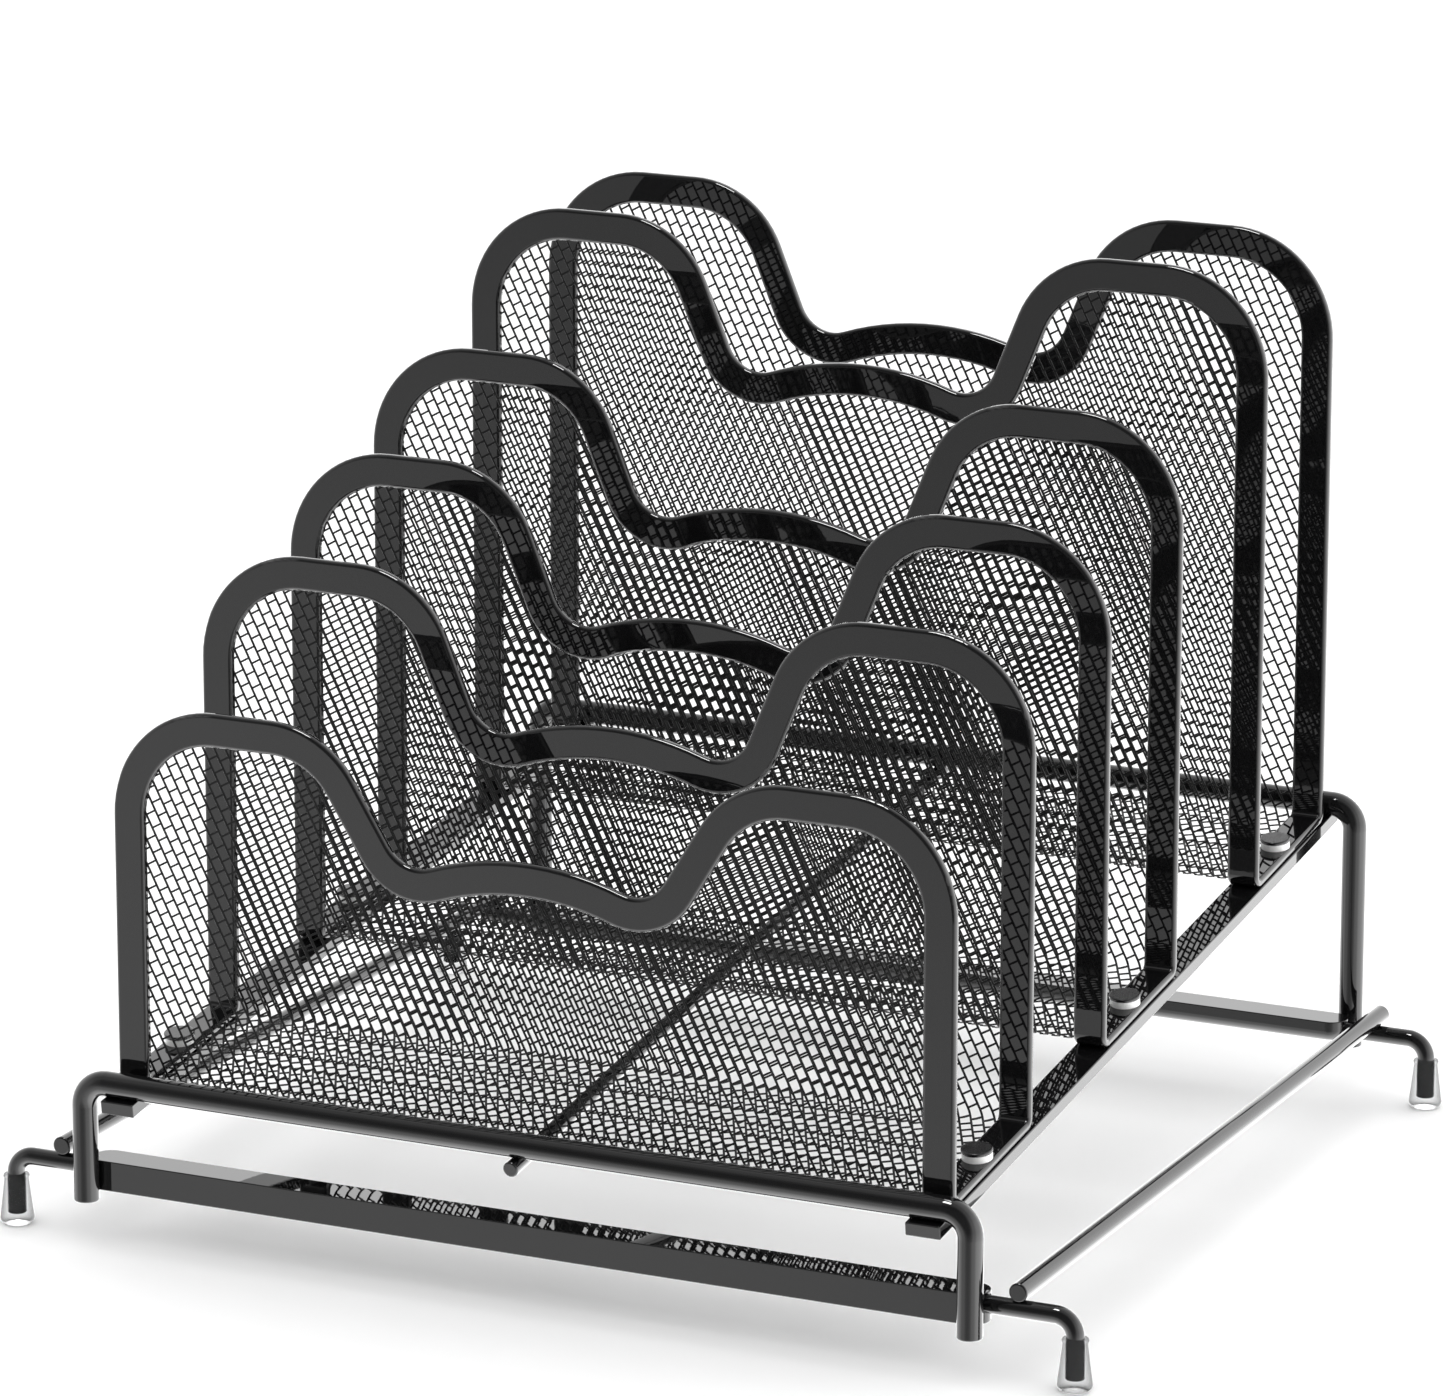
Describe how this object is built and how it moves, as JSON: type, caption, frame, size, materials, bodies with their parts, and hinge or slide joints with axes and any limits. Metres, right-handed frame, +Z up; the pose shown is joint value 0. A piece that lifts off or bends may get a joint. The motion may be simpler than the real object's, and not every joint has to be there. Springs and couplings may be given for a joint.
{
  "type": "desktop file sorter",
  "caption": "Stepped desktop sorter: black mesh dividers with a double-humped top, folded into U trays, on a sloping rod and bar frame with clear foot caps.",
  "frame": {"origin": "on the table, midway between the left and right feet and midway along the depth", "axes": "+X to the right seen from the low front, +Y to the tall back, +Z up"},
  "size_m": [0.4066, 0.3597, 0.317],
  "materials": {
    "black_paint": "gloss",
    "black_mesh": "gloss",
    "clear_cap": "gloss",
    "screw_head": "satin",
    "white_washer": "satin"
  },
  "bodies": {
    "root": {"front_tray_border": "black_paint", "middle_tray_border": "black_paint", "rear_tray_border": "black_paint", "front_tray_mesh": "black_mesh", "middle_tray_mesh": "black_mesh", "rear_tray_mesh": "black_mesh", "front_leg_hoop": "black_paint", "rear_leg_hoop": "black_paint", "front_crossbar": "black_paint", "rear_crossbar": "black_paint", "support_bar_left": "black_paint", "support_bar_right": "black_paint", "centre_rod": "black_paint", "side_rod_left": "black_paint", "side_rod_right": "black_paint", "foot_wire_front_left": "black_paint", "foot_wire_rear_left": "black_paint", "foot_wire_front_right": "black_paint", "foot_wire_rear_right": "black_paint", "foot_cap_front_left": "clear_cap", "foot_cap_rear_left": "clear_cap", "foot_cap_front_right": "clear_cap", "foot_cap_rear_right": "clear_cap", "tray_screws": "screw_head", "screw_washers": "white_washer"}
  },
  "joints": []
}
